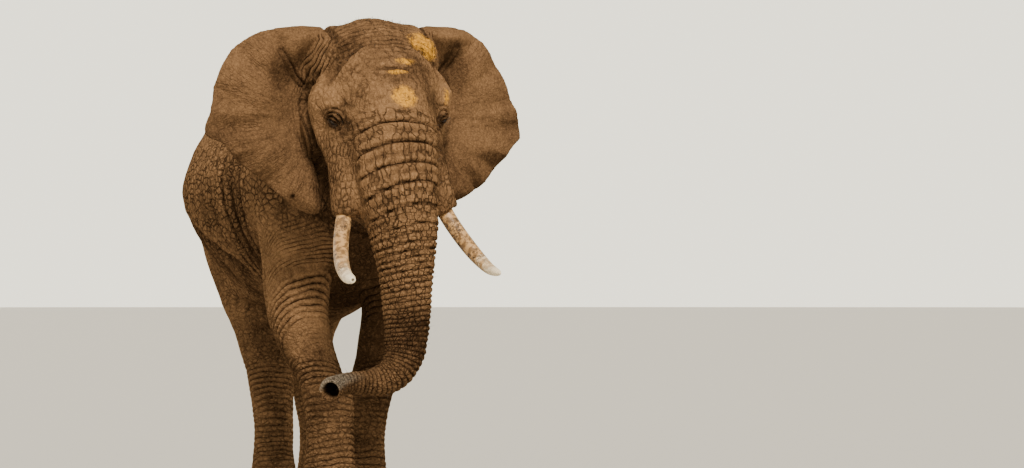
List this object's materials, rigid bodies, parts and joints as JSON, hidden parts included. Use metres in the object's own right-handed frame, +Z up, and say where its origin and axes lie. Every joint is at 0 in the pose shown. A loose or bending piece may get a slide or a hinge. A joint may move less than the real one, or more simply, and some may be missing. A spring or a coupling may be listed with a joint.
{
  "type": "african elephant bull",
  "caption": "Life-size still model of an African bush elephant bull in mid-stride, head turned, ears spread and trunk curled aside.",
  "frame": {"origin": "on the floor, under the middle of the whole animal's box", "axes": "+Z up, -Y the way the bull walks, +X to its left"},
  "size_m": [2.0484, 4.46, 3.094],
  "materials": {
    "hide": "dry wrinkled hide with a coat of ochre dust",
    "ivory": "smooth, stained brown near the lip",
    "nail": "dull, scuffed horn",
    "eye": "wet gloss",
    "hair": "coarse black hair"
  },
  "bodies": {
    "root": {"head": "hide", "neck": "hide", "jaw": "hide", "trunk_upper": "hide", "trunk_middle": "hide", "trunk_lower": "hide", "trunk_tip": "hide", "ear_left": "hide", "ear_right": "hide", "torso": "hide", "foreleg_left": "hide", "foreleg_right": "hide", "hindleg_left": "hide", "hindleg_right": "hide", "tail": "hide", "tail_brush": "hair", "eye_left": "eye", "eye_right": "eye", "tusk_left": "ivory", "tusk_right": "ivory", "toenail_foreleg_left_1": "nail", "toenail_foreleg_left_2": "nail", "toenail_foreleg_left_3": "nail", "toenail_foreleg_left_4": "nail", "toenail_foreleg_right_1": "nail", "toenail_foreleg_right_2": "nail", "toenail_foreleg_right_3": "nail", "toenail_foreleg_right_4": "nail", "toenail_hindleg_left_1": "nail", "toenail_hindleg_left_2": "nail", "toenail_hindleg_left_3": "nail", "toenail_hindleg_right_1": "nail", "toenail_hindleg_right_2": "nail", "toenail_hindleg_right_3": "nail"}
  },
  "joints": []
}
